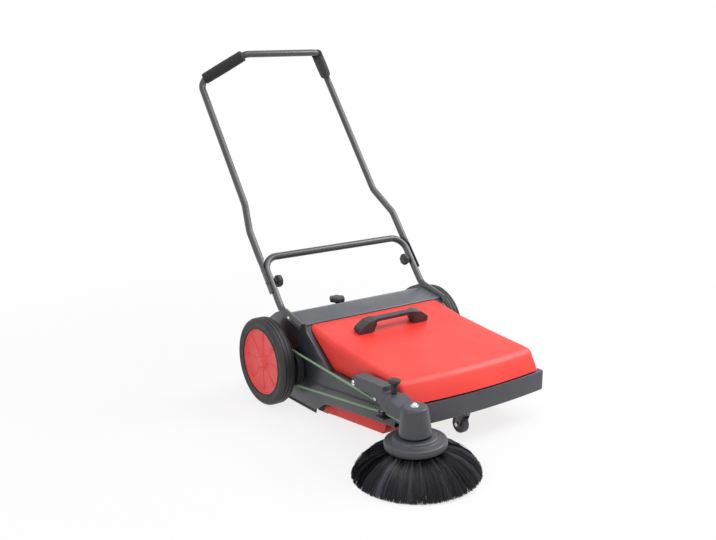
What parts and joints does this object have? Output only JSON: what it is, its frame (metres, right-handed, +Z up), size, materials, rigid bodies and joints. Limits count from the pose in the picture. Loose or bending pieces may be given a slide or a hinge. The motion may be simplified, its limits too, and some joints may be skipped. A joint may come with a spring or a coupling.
{
  "type": "push sweeper",
  "caption": "Push sweeper with a roller brush geared to its wheels, a belt-driven side brush on an arm, a lift-out dust hopper, a front caster and a folding tube handle.",
  "frame": {"origin": "on the floor under the middle of the whole machine's box", "axes": "-Y is forward, the way the machine sweeps; +Z up; -X is the operator's right, the side brush's side"},
  "size_m": [0.8248, 1.3944, 1.0802],
  "materials": {
    "painted_steel": "satin",
    "grey_plastic": "matte",
    "steel": "satin",
    "bright_nut": "polished",
    "bronze": "satin",
    "rubber": "matte",
    "tyre": "matte",
    "wheel_red": "satin",
    "nylon": "satin",
    "bristle": "matte",
    "black_plastic": "matte",
    "foam": "matte",
    "hopper_red": "gloss",
    "belt": "satin"
  },
  "bodies": {
    "chassis": {"right_side_plate": "painted_steel", "left_side_plate": "painted_steel", "brush_housing": "grey_plastic", "front_bumper": "grey_plastic", "front_crossmember": "painted_steel", "lower_handle": "painted_steel", "right_stub_axle": "steel", "left_stub_axle": "steel", "right_brush_bearing": "bronze", "left_brush_bearing": "bronze", "rear_skirt": "rubber", "right_side_skirt": "rubber", "left_side_skirt": "rubber", "right_clamp_bolt": "steel", "left_clamp_bolt": "steel", "right_leg_bolt": "steel", "left_leg_bolt": "steel", "arm_pivot_bolt": "steel", "caster_plate": "steel", "drive_belt": "belt"},
    "right_wheel": {"right_tyre": "tyre", "right_rim": "wheel_red", "right_wheel_gear": "nylon", "right_wheel_cap": "wheel_red"},
    "left_wheel": {"left_tyre": "tyre", "left_rim": "wheel_red", "left_wheel_gear": "nylon", "left_wheel_cap": "wheel_red"},
    "roller_brush": {"roller_shaft": "steel", "roller_core": "grey_plastic", "roller_bristles": "bristle", "right_pinion": "nylon", "drive_pulley": "black_plastic"},
    "freewheel_pinion": {"left_pinion": "nylon"},
    "arm": {"side_brush_arm": "grey_plastic", "spindle_bush": "bronze", "upper_roller_bolt": "steel", "lower_roller_bolt": "steel"},
    "side_brush": {"side_brush_spindle": "steel", "brush_pulley": "black_plastic", "brush_ring": "grey_plastic", "side_brush_bristles": "bristle", "cap_nut": "bright_nut"},
    "upper_belt_roller": {"upper_guide_roller": "black_plastic"},
    "lower_belt_roller": {"lower_guide_roller": "black_plastic"},
    "height_screw": {"height_knob": "black_plastic"},
    "caster_swivel": {"caster_fork": "steel", "caster_axle": "steel"},
    "caster_roll": {"caster_wheel": "black_plastic"},
    "hopper": {"hopper_lid": "hopper_red", "hopper_bin": "hopper_red", "hopper_grip": "grey_plastic", "hopper_lip": "rubber"},
    "push_handle": {"upper_handle": "painted_steel", "right_foam_grip": "foam", "left_foam_grip": "foam"},
    "right_knob": {"right_clamp_knob": "black_plastic"},
    "left_knob": {"left_clamp_knob": "black_plastic"},
    "housing_knob": {"rear_knob": "black_plastic"}
  },
  "joints": [
    {"name": "right_wheel_spin", "type": "hinge", "parent": "chassis", "child": "right_wheel", "pos_m": [-0.29011, 0.16578, 0.13912], "axis": [1, 0, 0], "continuous": true},
    {"name": "left_wheel_spin", "type": "hinge", "parent": "chassis", "child": "left_wheel", "pos_m": [0.38589, 0.16578, 0.13912], "axis": [1, 0, 0], "continuous": true},
    {"name": "roller_brush_spin", "type": "hinge", "parent": "chassis", "child": "roller_brush", "pos_m": [0.04789, 0.08188, 0.135], "axis": [1, 0, 0], "continuous": true},
    {"name": "freewheel_pinion_spin", "type": "hinge", "parent": "chassis", "child": "freewheel_pinion", "pos_m": [0.33139, 0.08188, 0.135], "axis": [1, 0, 0], "continuous": true},
    {"name": "arm_lift", "type": "hinge", "parent": "chassis", "child": "arm", "pos_m": [-0.23261, -0.23022, 0.172], "axis": [-1, 0, 0], "range_deg": [0, 7], "deforming": ["drive_belt"]},
    {"name": "side_brush_spin", "type": "hinge", "parent": "arm", "child": "side_brush", "pos_m": [-0.24839, -0.52722, 0.11984], "axis": [-0.0523, 0, 0.9986], "continuous": true},
    {"name": "upper_belt_roller_spin", "type": "hinge", "parent": "arm", "child": "upper_belt_roller", "pos_m": [-0.25091, -0.36422, 0.1712], "axis": [1, 0, 0], "continuous": true},
    {"name": "lower_belt_roller_spin", "type": "hinge", "parent": "arm", "child": "lower_belt_roller", "pos_m": [-0.26091, -0.39922, 0.138], "axis": [0, 0, 1], "continuous": true},
    {"name": "height_screw_turn", "type": "hinge", "parent": "arm", "child": "height_screw", "pos_m": [-0.24811, -0.43422, 0.205], "axis": [0, 0, 1], "range_deg": [0, 720]},
    {"name": "caster_swivel", "type": "hinge", "parent": "chassis", "child": "caster_swivel", "pos_m": [0.04789, -0.38622, 0.0675], "axis": [0, 0, 1], "continuous": true},
    {"name": "caster_roll", "type": "hinge", "parent": "caster_swivel", "child": "caster_roll", "pos_m": [0.04789, -0.37422, 0.02727], "axis": [1, 0, 0], "continuous": true},
    {"name": "hopper_lift", "type": "slide", "parent": "chassis", "child": "hopper", "axis": [0, -0.177, 0.9842], "range_m": [0, 0.16]},
    {"name": "handle_fold", "type": "hinge", "parent": "chassis", "child": "push_handle", "pos_m": [0.04789, 0.22105, 0.37448], "axis": [1, 0, 0], "range_deg": [0, 105]},
    {"name": "right_knob_turn", "type": "hinge", "parent": "chassis", "child": "right_knob", "pos_m": [-0.19211, 0.22105, 0.37448], "axis": [1, 0, 0], "range_deg": [0, 720]},
    {"name": "left_knob_turn", "type": "hinge", "parent": "chassis", "child": "left_knob", "pos_m": [0.28789, 0.22105, 0.37448], "axis": [1, 0, 0], "range_deg": [0, 720]},
    {"name": "housing_knob_turn", "type": "hinge", "parent": "chassis", "child": "housing_knob", "pos_m": [0.00089, 0.19578, 0.286], "axis": [0, 0, 1], "range_deg": [0, 720]}
  ],
  "couplings": [
    {"joint": "roller_brush_spin", "follows": "right_wheel_spin", "ratio": -2.5},
    {"joint": "freewheel_pinion_spin", "follows": "left_wheel_spin", "ratio": -2.5},
    {"joint": "side_brush_spin", "follows": "right_wheel_spin", "ratio": 4.5161},
    {"joint": "upper_belt_roller_spin", "follows": "right_wheel_spin", "ratio": 14},
    {"joint": "lower_belt_roller_spin", "follows": "right_wheel_spin", "ratio": -14}
  ]
}
